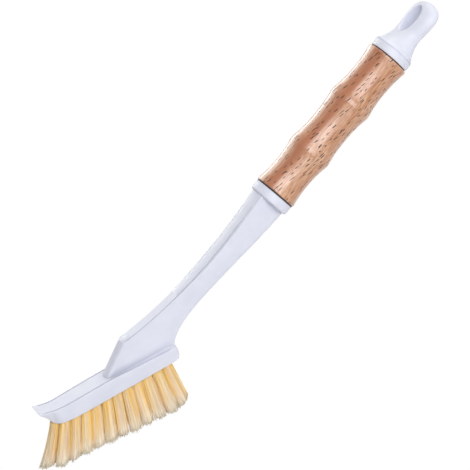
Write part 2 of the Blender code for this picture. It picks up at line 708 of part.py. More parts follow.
def make_tufts(handle, head, slope):
    """Make every tuft with its anchor."""
    anchor_bm = bmesh.new()
    add_plate(anchor_bm, Matrix.Identity(4), ANCHOR_WIDTH, ANCHOR_THICKNESS, ANCHOR_HEIGHT)
    anchor_mesh = mesh_from(anchor_bm, "anchor")
    anchor_mesh.materials.append(MATERIALS["anchor_steel"])
    trim = make_trim(handle, slope)
    for label, reach, offset, side_lean in tuft_sites():
        frame = tuft_frame(reach, offset, side_lean)
        worn = trim if reaches_table(reach, slope) else None
        make_tuft(label, frame, strand_length(reach), tuft_tip_half(reach), head, worn)
        make_anchor(label, anchor_mesh, frame, head)


def stand_on_table(root):
    """Put the origin under the middle of the brush, at the table."""
    bpy.context.view_layer.update()
    graph = bpy.context.evaluated_depsgraph_get()
    corners = []
    for item in PARTS.objects:
        if item.type == "MESH":
            shaped = item.evaluated_get(graph)
            corners += [shaped.matrix_world @ vertex.co for vertex in shaped.data.vertices]
    for axis, place in enumerate("xyz"):
        values = [corner[axis] for corner in corners]
        low, high = min(values), max(values)
        root.location[axis] = -low if place == "z" else -(low + high) / 2
    bpy.context.view_layer.update()


clear_scene()
PARTS = make_collection("window_track_brush")
CUTTERS = make_collection("cutters")
MATERIALS = {name: make_material(name) for name in FINISHES}

table_slope = rest_slope()
table_frame = make_empty("table_frame", None)
handle_frame = make_empty("handle_frame", table_frame, turn_y=table_slope)
head_frame = make_empty("head_frame", handle_frame, (-HEEL_REACH, 0.0, -HEEL_DROP), HEAD_TILT)

make_body(handle_frame, head_frame)
make_grip(handle_frame)
make_cap(handle_frame)
make_tufts(handle_frame, head_frame, table_slope)
stand_on_table(table_frame)
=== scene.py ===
"""Window track brush: fine surfaces, finishes, bristles, floor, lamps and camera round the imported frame.

Metres, +Z up. The handle's frame has x along the grip towards the hanging end, with zero at the
grip's head-side end, z to the back of the brush and y across it. The head's frame sits at the heel,
turned by the head's tilt. A reach is a distance from the heel towards the nose.
"""

import json
import math
import random

import bmesh
import bpy
import numpy as np
from mathutils import Matrix, Vector
from mathutils.geometry import interpolate_bezier


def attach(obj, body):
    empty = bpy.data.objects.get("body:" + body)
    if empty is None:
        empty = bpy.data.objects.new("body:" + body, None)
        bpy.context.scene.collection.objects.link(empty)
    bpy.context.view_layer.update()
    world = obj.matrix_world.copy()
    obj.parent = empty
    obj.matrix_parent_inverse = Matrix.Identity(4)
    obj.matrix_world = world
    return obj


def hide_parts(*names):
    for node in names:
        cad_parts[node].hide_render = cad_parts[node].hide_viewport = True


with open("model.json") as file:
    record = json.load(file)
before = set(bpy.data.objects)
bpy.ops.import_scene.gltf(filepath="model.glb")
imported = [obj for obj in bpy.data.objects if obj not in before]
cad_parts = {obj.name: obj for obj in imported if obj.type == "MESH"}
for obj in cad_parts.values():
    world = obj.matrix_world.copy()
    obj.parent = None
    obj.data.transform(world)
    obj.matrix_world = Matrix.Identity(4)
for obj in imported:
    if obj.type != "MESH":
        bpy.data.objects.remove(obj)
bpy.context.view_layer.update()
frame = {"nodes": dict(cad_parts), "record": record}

ROOT = "root"
MM = 0.001

# Grip, collar, spigots and gaps, as the frame has them
FIT_GAP = 0.0003
SHADOW_GAP = 0.0006
GRIP_LENGTH = 0.0876
GRIP_HEAD_END_RADIUS = 0.0114
GRIP_CAP_END_RADIUS = 0.0115
GRIP_KNOT_RADIUS = 0.0116
GRIP_WAIST_RADIUS = 0.0103
GRIP_EDGE_ROUND = 0.0006
GRIP_BORE_RADIUS = 0.0060
GRIP_KNOT_SHARES = (0.306, 0.665)
KNOT_CREST_SHARE = 0.07
WAIST_POWER = 2.3
COLLAR_RADIUS = 0.0109
COLLAR_LENGTH = 0.0052
COLLAR_ROUND = 0.0013
COLLAR_RIM_ROUND = 0.0003
SEAT_INSET = 0.0015
BODY_SPIGOT_LENGTH = 0.0340
CAP_SPIGOT_LENGTH = 0.0220
SPIGOT_TIP_ROUND = 0.0010
SPIGOT_SINK = 0.0030
RIB_COUNT = 4
RIB_HEIGHT = 0.0010
RIB_WIDTH = 0.0012
RIB_END_INSET = 0.0030
SPIGOT_RADIUS = GRIP_BORE_RADIUS - RIB_HEIGHT

# Rings of painted shadow in the gaps, set back from the wood's end and from the cap's flange
HEAD_GAP_SHADOW_INSET = 0.0005
CAP_GAP_SHADOW_INSET = 0.0008

# Head block. A row holds a share of its length, the heights of its foot, rim and crest there as
# shares of HEAD_HEIGHT, and the widths of its foot and deck as shares of theirs.
HEEL_REACH = 0.0932
HEEL_DROP = 0.0178
HEAD_TILT = math.radians(25.0)
HEAD_LENGTH = 0.0780
HEAD_HEIGHT = 0.0098
FOOT_WIDTH = 0.0112
DECK_WIDTH = 0.0125
CREST_WIDTH_SHARE = 0.52
FOOT_EDGE_ROUND = 0.0008
DECK_EDGE_ROUND = 0.0004
CREST_ROUND = 0.0012
HEAD_SHARES = (
    (0.000, 0.16, 0.46, 0.60, 0.40, 0.42),
    (0.005, 0.06, 0.60, 0.76, 0.55, 0.53),
    (0.012, 0.02, 0.68, 0.86, 0.70, 0.66),
    (0.023, 0.00, 0.72, 0.92, 0.83, 0.78),
    (0.041, 0.00, 0.75, 0.96, 0.92, 0.88),
    (0.067, 0.00, 0.77, 0.98, 0.98, 0.95),
    (0.115, 0.00, 0.80, 0.98, 1.00, 1.00),
    (0.235, 0.00, 0.86, 0.98, 1.00, 1.00),
    (0.330, 0.00, 0.91, 0.99, 1.00, 1.00),
    (0.415, 0.00, 0.97, 1.00, 1.00, 1.00),
    (0.495, 0.00, 1.00, 1.01, 1.00, 1.00),
    (0.620, 0.00, 0.99, 1.00, 1.00, 1.00),
    (0.740, 0.01, 0.97, 0.98, 1.00, 0.99),
    (0.820, 0.04, 0.96, 0.97, 0.98, 0.96),
    (0.875, 0.08, 0.98, 0.99, 0.94, 0.91),
    (0.905, 0.11, 1.01, 1.02, 0.74, 0.89),
    (0.926, 0.15, 1.05, 1.06, 0.48, 0.88),
    (0.950, 0.55, 1.10, 1.11, 0.66, 0.87),
    (0.975, 0.90, 1.16, 1.17, 0.82, 0.87),
    (1.000, 1.16, 1.235, 1.24, 0.90, 0.86),
)

# Fin and neck. A bevel is its width across the back and its drop down the side. A curve's handle
# lies at a share of the curve's run and at a share of its root's distance from the axis.
FIN_FOOT_REACH = 0.0402
FIN_TOP_REACH = 0.0253
FIN_TOP_HEIGHT = 0.0237
FIN_THICKNESS = 0.0068
FIN_BEVEL = (0.0005, 0.00045)
FIN_FRONT_ROUND = 0.0015
FIN_NOSE_DEPTH = 0.0016
FIN_NOSE_SIDE = 0.0026
FIN_SINK = 0.0020
NECK_BACK_DEPTH = 0.0089
NECK_FRONT_DEPTH = 0.0093
NECK_THICKNESS = 0.0102
NECK_BEVEL = (0.0019, 0.0007)
NECK_FRONT_ROUND = 0.0032
NECK_SINK = 0.0020
NECK_TAPER_SHARES = (0.38, 0.76)
BACK_HANDLE_SHARES = ((0.39, 0.47), (0.70, 0.66))
FRONT_HANDLE_SHARES = ((0.40, 0.93), (0.94, -0.18))
HEEL_SEAT_SHARES = (0.008, 0.43)

# Shadow lines along the edges of the neck's back and of the deck: narrow square grooves. Their
# shares say where a groove starts and is full, and on the deck also where it fades and ends.
GROOVE_DEPTH = 0.0003
GROOVE_LEAST_DEPTH = 0.00005
NECK_GROOVE_WIDTH = 0.0005
NECK_GROOVE_TO_EDGE = 0.0001
NECK_GROOVE_SHARES = (0.0, 0.12)
DECK_GROOVE_WIDTH = 0.0009
DECK_GROOVE_INSET = 0.0005
DECK_GROOVE_SHARES = (0.02, 0.06, 0.955, 0.985)

# Hanging cap and its eye. A row holds a share of the cap's length, and its width and depth there
# as shares of the flange's.
CAP_START = GRIP_LENGTH + SHADOW_GAP
CAP_LENGTH = 0.0345
CAP_RADIUS = 0.0110
CAP_SHARES = (
    (0.000, 0.970, 0.970),
    (0.015, 0.995, 0.995),
    (0.107, 1.000, 1.000),
    (0.131, 0.985, 0.975),
    (0.170, 0.920, 0.875),
    (0.243, 0.855, 0.735),
    (0.317, 0.800, 0.635),
    (0.390, 0.775, 0.570),
    (0.463, 0.790, 0.535),
    (0.545, 0.850, 0.515),
    (0.623, 0.905, 0.505),
    (0.711, 0.935, 0.500),
    (0.785, 0.930, 0.495),
    (0.852, 0.870, 0.485),
    (0.910, 0.750, 0.445),
    (0.958, 0.550, 0.350),
    (0.987, 0.310, 0.210),
    (1.000, 0.080, 0.060),
)
CAP_GROOVE_SHARES = (0.108, 0.126)
CAP_GROOVE_WALL_SHARE = 0.0005
CAP_GROOVE_DEPTH = 0.0004
EYE_LENGTH = 0.0155
EYE_WIDTH = 0.0092
EYE_ROUND = 0.0013
EYE_TIP_WALL = 0.0047
EYE_DEPTH_SHARE = 0.5
CUT_OVERRUN = 0.003
EYE_PLACE = CAP_START + CAP_LENGTH - EYE_TIP_WALL - EYE_LENGTH / 2

# Tufts, and the slope to which their tips are cut
ROW_COUNT = 11
ROW_REAR_INSET = 0.0087
ROW_FRONT_SHARE = 0.849
ROW_STAGGER = 0.0012
NOSE_TUFT_SHARE = 0.903
HOLE_RADIUS = 0.0017
HOLE_SIDE_WALL = 0.0009
REAR_LEAN = math.radians(-2.5)
FRONT_LEAN = math.radians(31.0)
SIDE_LEAN = math.radians(3.5)
TIP_DEPTH = 0.0269
TIP_TILT = math.radians(4.6)
ROW_SPACING = FOOT_WIDTH - 2 * (HOLE_SIDE_WALL + HOLE_RADIUS)
ROW_FRONT_REACH = ROW_FRONT_SHARE * HEAD_LENGTH
NOSE_TUFT_REACH = NOSE_TUFT_SHARE * HEAD_LENGTH
ROW_PITCH = (ROW_FRONT_REACH - ROW_REAR_INSET) / (ROW_COUNT - 1)

# Dressed tufts: fine filaments over a ribbed core of the same bundle. A half is measured from the
# bundle's middle, along the rows or, for a side half, across them.
ROOT_HALF = 0.0027
ROOT_LEAN_SHARE = 0.8
ROOT_SINK = 0.0020
SWELL = 0.0003
TIP_SIDE_HALF = 0.0023
TIP_FILL_SHARE = 0.98
TIP_RAGGED = 0.0008
TIP_DOME = 0.0005
TUFT_RAGGED = 0.0004
NOSE_ROOT_SIDE_HALF = 0.0026
NOSE_TIP_HALF = 0.0050
NOSE_TIP_SIDE_HALF = 0.0034
NOSE_FACING = 0.3
NOSE_FACING_CHANGE = 0.7
FILAMENTS = 96
FILAMENT_SIDES = 5
FILAMENT_RUNS = 6
FILAMENT_RADIUS = 0.00017
FILAMENT_CROWDING = 0.36
STRAY = 0.00028
BOW = 0.0005
CLUMPS = 22
CLUMP_SHARE = 0.65
CORE_SHARE = 0.90
CORE_RIB_SHARE = 0.10
CORE_RAGGED_SHARES = (-1.0, 0.3)
CORE_END_SHARE = 0.99
CORE_SIDES = 56
CORE_RUNS = 12
TABLE_HALVINGS = 20

# Steps of the fine meshes, and the angles over which their edges are drawn sharp
RING_STEPS = 6
NECK_STEPS = 90
NOSE_STEPS = 12
HEAD_RINGS = 110
CAP_RINGS = 90
GRIP_RINGS = 240
TURNED_SIDES = 128
CAP_SIDES = 96
EYE_SIDES = 72
FLARE_STEPS = 10
SHARP_DEGREES = 40
MOULDING_SHARP_DEGREES = 32

# Directions in a turned profile, as angles from the handle's x
TO_CAP = 0.0
OUTWARD = math.pi / 2
TO_HEAD = math.pi


def handle_frame():
    """Frame of the handle, from the hanging eye's mount and the grip's head-side end."""
    eye = next(m for m in frame["record"]["mounts"] if m["name"] == "hanging_eye")
    upward = Vector(eye["axis"]).normalized()
    along = Vector((upward.z, 0.0, -upward.x))
    start = min(vertex.co.dot(along) for vertex in frame["nodes"]["wood_grip"].data.vertices)
    centre = Vector(eye["pos_m"])
    origin = centre + along * (start - centre.dot(along))
    axes = Matrix((along, Vector((0.0, 1.0, 0.0)), upward)).transposed().to_4x4()
    return Matrix.Translation(origin) @ axes


HANDLE = handle_frame()
HEEL = HANDLE @ Matrix.Translation((-HEEL_REACH, 0.0, -HEEL_DROP))
HEAD = HEEL @ Matrix.Rotation(HEAD_TILT, 4, "Y")


def smooth_rows(rows, count, extra=()):
    """Rows read off smooth curves through the given rows, which never overshoot between them."""
    rows = np.array(rows, float)
    keys, values = rows[:, 0], rows[:, 1:]
    slopes = np.diff(values, axis=0) / np.diff(keys)[:, None]
    before, after = slopes[:-1], slopes[1:]
    same = before * after > 0
    safe = np.where(same, before + after, 1.0)
    tangents = np.vstack([slopes[:1], np.where(same, 2 * before * after / safe, 0.0), slopes[-1:]])
    result = []
    for place in np.unique(np.concatenate([keys, np.linspace(keys[0], keys[-1], count), extra])):
        index = min(int(np.searchsorted(keys, place, side="right")) - 1, len(keys) - 2)
        run = keys[index + 1] - keys[index]
        t = (place - keys[index]) / run
        value = (2 * t**3 - 3 * t**2 + 1) * values[index] + (3 * t**2 - 2 * t**3) * values[index + 1]
        value += run * ((t**3 - 2 * t**2 + t) * tangents[index] + (t**3 - t**2) * tangents[index + 1])
        result.append((place, *value))
    return result


def eased(value, start, end):
    """Smooth step from 0 at the start to 1 at the end."""
    share = min(max((value - start) / (end - start), 0.0), 1.0)
    return share * share * (3 - 2 * share)


def between(first, second, share):
    """Value at a share of the way from the first to the second."""
    return first + (second - first) * share


def rounded_ring(corners, radii):
    """Outline whose corners are rounded by equally many points; a corner of no radius stays sharp."""
    least_reach_share, side_share, least_angle = 0.2, 0.45, 0.05
    ring = []
    for index, corner in enumerate(corners):
        here = Vector(corner)
        if not radii[index]:
            ring.append(here)
            continue
        to_last = Vector(corners[index - 1]) - here
        to_next = Vector(corners[(index + 1) % len(corners)]) - here
        half = max(to_last.angle(to_next) / 2, least_angle)
        reach = max(radii[index] / math.tan(half), radii[index] * least_reach_share)
        reach = min(reach, side_share * min(to_last.length, to_next.length))
        first = here + to_last.normalized() * reach
        last = here + to_next.normalized() * reach
        weight = math.sin(half)
        for step in range(RING_STEPS + 1):
            t = step / RING_STEPS
            parts = ((1 - t) ** 2, 2 * t * (1 - t) * weight, t**2)
            ring.append((first * parts[0] + here * parts[1] + last * parts[2]) / sum(parts))
    return ring


def groove_corners(start, end, inset, width, depth):
    """Corners of a square groove in one edge of an outline, an inset away from the edge's start."""
    along = (Vector(end) - Vector(start)).normalized()
    inward = Vector((-along.y, along.x)) * max(depth, GROOVE_LEAST_DEPTH)
    first = Vector(start) + along * inset
    last = first + along * width
    return [first, first + inward, last + inward, last]


def mirrored(corners):
    """The same corners on the other side of an outline, in its running order."""
    return [Vector((-corner.x, corner.y)) for corner in reversed(corners)]


def circle(x, radius, sides):
    """Ring round the handle's axis."""
    turns = [2 * math.pi * index / sides for index in range(sides)]
    return [(x, radius * math.sin(turn), radius * math.cos(turn)) for turn in turns]


def oval(x, half_length, half_width, height):
    """Level oval ring round a place on the handle's axis, with no point on the axis itself."""
    turns = [2 * math.pi * (index + 0.5) / EYE_SIDES for index in range(EYE_SIDES)]
    return [(x + half_length * math.cos(turn), half_width * math.sin(turn), height) for turn in turns]


def quarter(centre_x, centre_radius, size, start, end, steps=RING_STEPS):
    """Quarter-round points of a turned profile, between two angles from the handle's x."""
    points = []
    for step in range(steps + 1):
        angle = start + (end - start) * step / steps
        points.append((centre_x + size * math.cos(angle), centre_radius + size * math.sin(angle)))
    return points


def skin(bm, rings):
    """Add the faces between neighbouring rings of vertices."""
    for ring, following in zip(rings, rings[1:]):
        for index in range(len(ring)):
            after = (index + 1) % len(ring)
            bm.faces.new((ring[index], ring[after], following[after], following[index]))


def skin_closed(bm, rings):
    """Add the faces of a closed tube over rings that run away from its start."""
    skin(bm, rings)
    bm.faces.new(rings[0][::-1])
    bm.faces.new(rings[-1])


def new_object(name, data):
    """Link new data into the scene."""
    item = bpy.data.objects.new(name, data)
    bpy.context.scene.collection.objects.link(item)
    return item


def mesh_object(name, bm):
    """Object of a finished mesh."""
    mesh = bpy.data.meshes.new(name)
    bm.to_mesh(mesh)
    bm.free()
    return new_object(name, mesh)


def loft(name, rings, matrix, looped=False):
    """Object skinned over rings, with a face at either end or the last ring joined to the first."""
    bm = bmesh.new()
    loops = [[bm.verts.new(matrix @ Vector(point)) for point in ring] for ring in rings]
    if looped:
        loops.append(loops[0])
    else:
        bm.faces.new(loops[0])
        bm.faces.new(loops[-1])
    skin(bm, loops)
    bmesh.ops.recalc_face_normals(bm, faces=bm.faces)
    return mesh_object(name, bm)


def turned(name, profile, sides, looped=False):
    """Object turned round the handle's axis from a profile of places and radii."""
    return loft(name, [circle(x, radius, sides) for x, radius in profile], HANDLE, looped)


def combine(item, others, operation):
    """Join an object with others or cut it by them, and drop them."""
    for other in others:
        modifier = item.modifiers.new(other.name, "BOOLEAN")
        modifier.operation = operation
        modifier.object = other
        modifier.solver = "EXACT"
    bpy.context.view_layer.update()
    graph = bpy.context.evaluated_depsgraph_get()
    mesh = bpy.data.meshes.new_from_object(item.evaluated_get(graph))
    item.modifiers.clear()
    old = item.data
    item.data = mesh
    bpy.data.meshes.remove(old)
    for other in others:
        bpy.data.objects.remove(other, do_unlink=True)


def smooth(item, degrees=SHARP_DEGREES):
    """Shade a piece smooth, with edges over an angle left sharp."""
    item.data.shade_smooth()
    item.data.set_sharp_from_angle(angle=math.radians(degrees))


def dress(item, material, slot, *nodes):
    """Give a piece its finish, let it ride and stand for CAD nodes."""
    item.data.materials.clear()
    item.data.materials.append(material)
    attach(item, ROOT)
    if nodes:
        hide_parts(*nodes)


def head_place(reach, height):
    """Place of a head point in the handle's frame, as (x, z)."""
    x = -HEEL_REACH - reach * math.cos(HEAD_TILT) + height * math.sin(HEAD_TILT)
    z = -HEEL_DROP + reach * math.sin(HEAD_TILT) + height * math.cos(HEAD_TILT)
    return Vector((x, z))


def bar_ring(back, front, half, bevel, front_round, groove_depth):
    """Ring of a bar between a place on its back and one on its front, with a groove in each bevel."""
    depth = (back - front).length
    inset, drop = min(bevel[0], half / 2), bevel[1]
    shoulder, land = (half, depth - drop), (half - inset, depth)
    groove_start = math.hypot(inset, drop) - NECK_GROOVE_TO_EDGE - NECK_GROOVE_WIDTH
    groove = groove_corners(shoulder, land, groove_start, NECK_GROOVE_WIDTH, groove_depth)
    corners = [(-half, 0.0), (half, 0.0), shoulder, *groove, land,
               (-land[0], depth), *mirrored(groove), (-half, depth - drop)]
    sharp = [0.0] * len(groove)
    radii = [front_round, front_round, drop, *sharp, 0.0, 0.0, *sharp, drop]
    points = []
    for y, height in rounded_ring(corners, radii):
        place = front.lerp(back, height / depth)
        points.append((place.x, y, place.y))
    return points


def neck_curve(root, end, handle_shares, depth):
    """Points along the neck's back or front, from its root at the collar to its end."""
    side = math.copysign(1.0, root.y)
    handles = []
    for along, off_axis in handle_shares:
        handles.append(Vector((root.x + along * (end.x - root.x), side * off_axis * depth)))
    points = interpolate_bezier(root, *handles, end, NECK_STEPS + 1)
    return [Vector((point.x, point.y)) for point in points]


def neck_ring(back, front, run_share):
    """Ring of the neck at a share of its run, over which its bar thins to the fin."""
    slim = eased(run_share, *NECK_TAPER_SHARES)
    half = between(NECK_THICKNESS, FIN_THICKNESS, slim) / 2
    bevel = [between(thick, thin, slim) for thick, thin in zip(NECK_BEVEL, FIN_BEVEL)]
    front_round = between(NECK_FRONT_ROUND, FIN_FRONT_ROUND, slim)
    groove_depth = GROOVE_DEPTH * eased(run_share, *NECK_GROOVE_SHARES)
    return bar_ring(back, front, half, bevel, front_round, groove_depth)


def neck_object():
    """Neck from the collar to the fin's sloping front, which narrows as a quarter ellipse."""
    top = head_place(FIN_TOP_REACH, FIN_TOP_HEIGHT)
    foot = head_place(FIN_FOOT_REACH, HEAD_HEIGHT)
    down_face = (foot - top).normalized()
    outward = Vector((down_face.y, -down_face.x))
    sunk_foot = foot + down_face * FIN_SINK
    back_root = Vector((-COLLAR_LENGTH, NECK_BACK_DEPTH))
    backs = neck_curve(back_root, top, BACK_HANDLE_SHARES, NECK_BACK_DEPTH)
    along_back = (backs[-1] - backs[-2]).normalized()
    nose_run = FIN_NOSE_DEPTH / outward.dot(along_back)
    nose_start = top - along_back * (nose_run + FIN_NOSE_DEPTH)
    backs = neck_curve(back_root, nose_start, BACK_HANDLE_SHARES, NECK_BACK_DEPTH)
    front_root = Vector((-COLLAR_LENGTH, -NECK_FRONT_DEPTH))
    reach_share, height_share = HEEL_SEAT_SHARES
    heel = head_place(reach_share * HEAD_LENGTH, height_share * HEAD_HEIGHT)
    fronts = neck_curve(front_root, heel, FRONT_HANDLE_SHARES, NECK_FRONT_DEPTH)
    inside = Vector((NECK_SINK, 0.0))
    rings = [neck_ring(back_root + inside, front_root + inside, 0.0)]
    for back, front in zip(backs, fronts):
        rings.append(neck_ring(back, front, (back_root.x - back.x) / (back_root.x - top.x)))
    for step in range(NOSE_STEPS + 1):
        turn = math.pi / 2 * step / NOSE_STEPS
        behind = 1 - math.sin(turn)
        half = FIN_THICKNESS / 2 - FIN_NOSE_SIDE * (1 - math.cos(turn))
        back = top - along_back * nose_run * behind
        front = sunk_foot - outward * FIN_NOSE_DEPTH * behind
        rings.append(bar_ring(back, front, half, FIN_BEVEL, FIN_FRONT_ROUND, GROOVE_DEPTH * behind))
    return loft("neck", rings, HANDLE)


def head_object():
    """Head block, with its rounded heel, grooved deck, narrow nose and thin lip."""
    start, full, fades, end = DECK_GROOVE_SHARES
    rings = []
    for along, low, rim, crest, foot_share, deck_share in smooth_rows(HEAD_SHARES, HEAD_RINGS):
        foot_half = FOOT_WIDTH * foot_share / 2
        deck_half = DECK_WIDTH * deck_share / 2
        crest_half = CREST_WIDTH_SHARE * deck_half
        foot_z, rim_z, crest_z = low * HEAD_HEIGHT, rim * HEAD_HEIGHT, crest * HEAD_HEIGHT
        depth = GROOVE_DEPTH * eased(along, start, full) * (1 - eased(along, fades, end))
        inset = DECK_GROOVE_INSET * deck_share
        groove = groove_corners((deck_half, rim_z), (crest_half, crest_z), inset,
                                DECK_GROOVE_WIDTH, depth)
        corners = [(-foot_half, foot_z), (foot_half, foot_z), (deck_half, rim_z), *groove,
                   (crest_half, crest_z), (-crest_half, crest_z), *mirrored(groove), (-deck_half, rim_z)]
        sharp = [0.0] * len(groove)
        radii = [FOOT_EDGE_ROUND, FOOT_EDGE_ROUND, DECK_EDGE_ROUND, *sharp,
                 CREST_ROUND, CREST_ROUND, *sharp, DECK_EDGE_ROUND]
        rings.append([(-along * HEAD_LENGTH, y, z) for y, z in rounded_ring(corners, radii)])
    return loft("head", rings, HEAD)


def spigot_profile(tip, mouth, seat_radius):
    """Turned profile of a spigot from its tip to its seat at one mouth of the bore."""
    outward = math.copysign(1.0, tip - mouth)
    seat = mouth - outward * FIT_GAP
    tip_direction = TO_CAP if outward > 0 else TO_HEAD
    profile = quarter(tip - outward * SPIGOT_TIP_ROUND, SPIGOT_RADIUS - SPIGOT_TIP_ROUND,
                      SPIGOT_TIP_ROUND, tip_direction, OUTWARD)
    return profile + [(seat, SPIGOT_RADIUS), (seat, seat_radius)]


def rib_objects(start, length):
    """Crush ribs along a spigot, which grip the bore."""
    top = GRIP_BORE_RADIUS - FIT_GAP
    base = SPIGOT_RADIUS * math.cos(math.pi / RIB_COUNT)
    half = RIB_WIDTH / 2
    corners = ((-half, base), (half, base), (half, top), (-half, top))
    ribs = []
    for index in range(RIB_COUNT):
        turn = Matrix.Rotation(2 * math.pi * index / RIB_COUNT, 4, "X")
        rings = [[turn @ Vector((x, y, z)) for y, z in corners] for x in (start, start + length)]
        ribs.append(loft(f"rib_{index}", rings, HANDLE))
    return ribs


def make_body(material):
    """Spigot, collar, neck, fin and head as one moulding."""
    seat_radius = COLLAR_RADIUS - SEAT_INSET
    collar_end = -SHADOW_GAP - COLLAR_LENGTH
    profile = spigot_profile(BODY_SPIGOT_LENGTH, 0.0, seat_radius) + [(-SHADOW_GAP, seat_radius)]
    profile += quarter(-SHADOW_GAP - COLLAR_RIM_ROUND, COLLAR_RADIUS - COLLAR_RIM_ROUND,
                       COLLAR_RIM_ROUND, TO_CAP, OUTWARD)
    profile += quarter(collar_end + COLLAR_ROUND, COLLAR_RADIUS - COLLAR_ROUND,
                       COLLAR_ROUND, OUTWARD, TO_HEAD, 2 * RING_STEPS)
    body = turned("brush_moulding", profile, TURNED_SIDES)
    ribs = rib_objects(RIB_END_INSET, BODY_SPIGOT_LENGTH - 2 * RIB_END_INSET)
    combine(body, [neck_object(), head_object(), *ribs], "UNION")
    smooth(body, MOULDING_SHARP_DEGREES)
    dress(body, material, "white_plastic", "brush_body")


def grip_radius(share):
    """Radius of the grip at a share of its length: three waists between crests."""
    crests = [0.0, *GRIP_KNOT_SHARES, 1.0]
    radii = [GRIP_HEAD_END_RADIUS, GRIP_KNOT_RADIUS, GRIP_KNOT_RADIUS, GRIP_CAP_END_RADIUS]
    index = max(i for i in range(len(GRIP_KNOT_SHARES) + 1) if share >= crests[i])
    local = (share - crests[index]) / (crests[index + 1] - crests[index])
    from_waist = abs(2 * local - 1)
    crest = radii[index] if 2 * local < 1 else radii[index + 1]
    rise = min(from_waist / (1 - KNOT_CREST_SHARE), 1.0) ** WAIST_POWER
    return between(GRIP_WAIST_RADIUS, crest, rise)


def make_grip(material):
    """Turned and bored wooden grip."""
    edge = GRIP_EDGE_ROUND
    outer = []
    for step in range(GRIP_RINGS + 1):
        x = edge + (GRIP_LENGTH - 2 * edge) * step / GRIP_RINGS
        outer.append((x, grip_radius(x / GRIP_LENGTH)))
    profile = quarter(edge, outer[0][1] - edge, edge, TO_HEAD, OUTWARD) + outer[1:-1]
    profile += quarter(GRIP_LENGTH - edge, outer[-1][1] - edge, edge, OUTWARD, TO_CAP)
    profile += [(GRIP_LENGTH, GRIP_BORE_RADIUS), (0.0, GRIP_BORE_RADIUS)]
    grip = turned("turned_grip", profile, TURNED_SIDES, looped=True)
    smooth(grip)
    dress(grip, material, "beech", "wood_grip")


def make_gap_shadow_ring(name, start, radius, material):
    """Thin dark ring in the gap between the wood and a plastic piece, painting the gap's shadow."""
    inner = COLLAR_RADIUS - SEAT_INSET
    end = start + SHADOW_GAP
    profile = ((start, inner), (start, radius), (end, radius), (end, inner))
    ring = turned(name, profile, TURNED_SIDES, looped=True)
    smooth(ring)
    dress(ring, material, "beech")


def cap_loop():
    """Round flange and flat loop of the cap, with a shallow groove behind the rim."""
    groove_start, groove_end = CAP_GROOVE_SHARES
    wall = CAP_GROOVE_WALL_SHARE
    walls = (groove_start, groove_start + wall, groove_end - wall, groove_end)
    rings = []
    for along, width, depth in smooth_rows(CAP_SHARES, CAP_RINGS, walls):
        in_groove = groove_start < along < groove_end
        radius = CAP_RADIUS - CAP_GROOVE_DEPTH if in_groove else CAP_RADIUS
        ring = circle(CAP_START + along * CAP_LENGTH, radius, CAP_SIDES)
        rings.append([(x, y * width, z * depth) for x, y, z in ring])
    return loft("hanging_cap", rings, HANDLE)


def eye_cutter():
    """Cutter of the oval eye, flared at both faces of the loop."""
    face = CAP_RADIUS * EYE_DEPTH_SHARE
    levels = []
    for height, grow in quarter(0.0, 0.0, EYE_ROUND, -OUTWARD, TO_CAP, FLARE_STEPS):
        levels.append((face - EYE_ROUND + height, EYE_ROUND + grow))
    levels.append((face + CUT_OVERRUN, EYE_ROUND))
    levels = [(-height, grow) for height, grow in reversed(levels)] + levels
    rings = []
    for height, grow in levels:
        rings.append(oval(EYE_PLACE, EYE_LENGTH / 2 + grow, EYE_WIDTH / 2 + grow, height))
    return loft("eye_cutter", rings, HANDLE)


def make_cap(material):
    """Hanging cap: flange, loop, flared eye and ribbed spigot."""
    cap = cap_loop()
    combine(cap, [eye_cutter()], "DIFFERENCE")
    seat_radius = CAP_RADIUS - SEAT_INSET
    tip = GRIP_LENGTH - CAP_SPIGOT_LENGTH
    profile = spigot_profile(tip, GRIP_LENGTH, seat_radius) + [(CAP_START + SPIGOT_SINK, seat_radius)]
    spigot = turned("cap_spigot", profile, CAP_SIDES)
    ribs = rib_objects(tip + RIB_END_INSET, CAP_SPIGOT_LENGTH - 2 * RIB_END_INSET)
    combine(cap, [spigot, *ribs], "UNION")
    smooth(cap)
    dress(cap, material, "white_plastic", "end_cap")


def foot_height(reach):
    """Height of the bristle face at a reach, which lifts towards the nose."""
    stations = [row[0] * HEAD_LENGTH for row in HEAD_SHARES]
    heights = [row[1] * HEAD_HEIGHT for row in HEAD_SHARES]
    return float(np.interp(reach, stations, heights))


def tuft_sites():
    """Name, reach, side offset and side lean of each tuft."""
    sites = []
    for index in range(ROW_COUNT):
        reach = ROW_REAR_INSET + ROW_PITCH * index
        sites.append((f"near_{index + 1:02d}", reach, -ROW_SPACING / 2, -SIDE_LEAN))
        sites.append((f"far_{index + 1:02d}", reach + ROW_STAGGER, ROW_SPACING / 2, SIDE_LEAN))
    sites.append(("nose", NOSE_TUFT_REACH, 0.0, 0.0))
    return sites


def tuft_lean(reach):
    """Lean of a tuft's tips towards the nose, seen from its root."""
    share = (reach - ROW_REAR_INSET) / (NOSE_TUFT_REACH - ROW_REAR_INSET)
    return between(REAR_LEAN, FRONT_LEAN, share)


def tuft_length(reach):
    """Length of a tuft from its hole's mouth to the sloping cut of the tips."""
    lean, slope = tuft_lean(reach), math.tan(TIP_TILT)
    return (TIP_DEPTH + foot_height(reach) - slope * reach) / (math.cos(lean) + slope * math.sin(lean))


def along_curve(curve, t):
    """Point at a share of a curve given by its root, middle and tip."""
    return curve[0] * (1 - t) ** 2 + curve[1] * 2 * t * (1 - t) + curve[2] * t**2


def share_above_table(curve, end):
    """Share of a curve, up to the given end, at which a filament's skin meets the table."""
    low, high = 0.0, end
    if (HEAD @ along_curve(curve, high)).z >= FILAMENT_RADIUS:
        return high
    for _ in range(TABLE_HALVINGS):
        middle = (low + high) / 2
        if (HEAD @ along_curve(curve, middle)).z < FILAMENT_RADIUS:
            high = middle
        else:
            low = middle
    return low


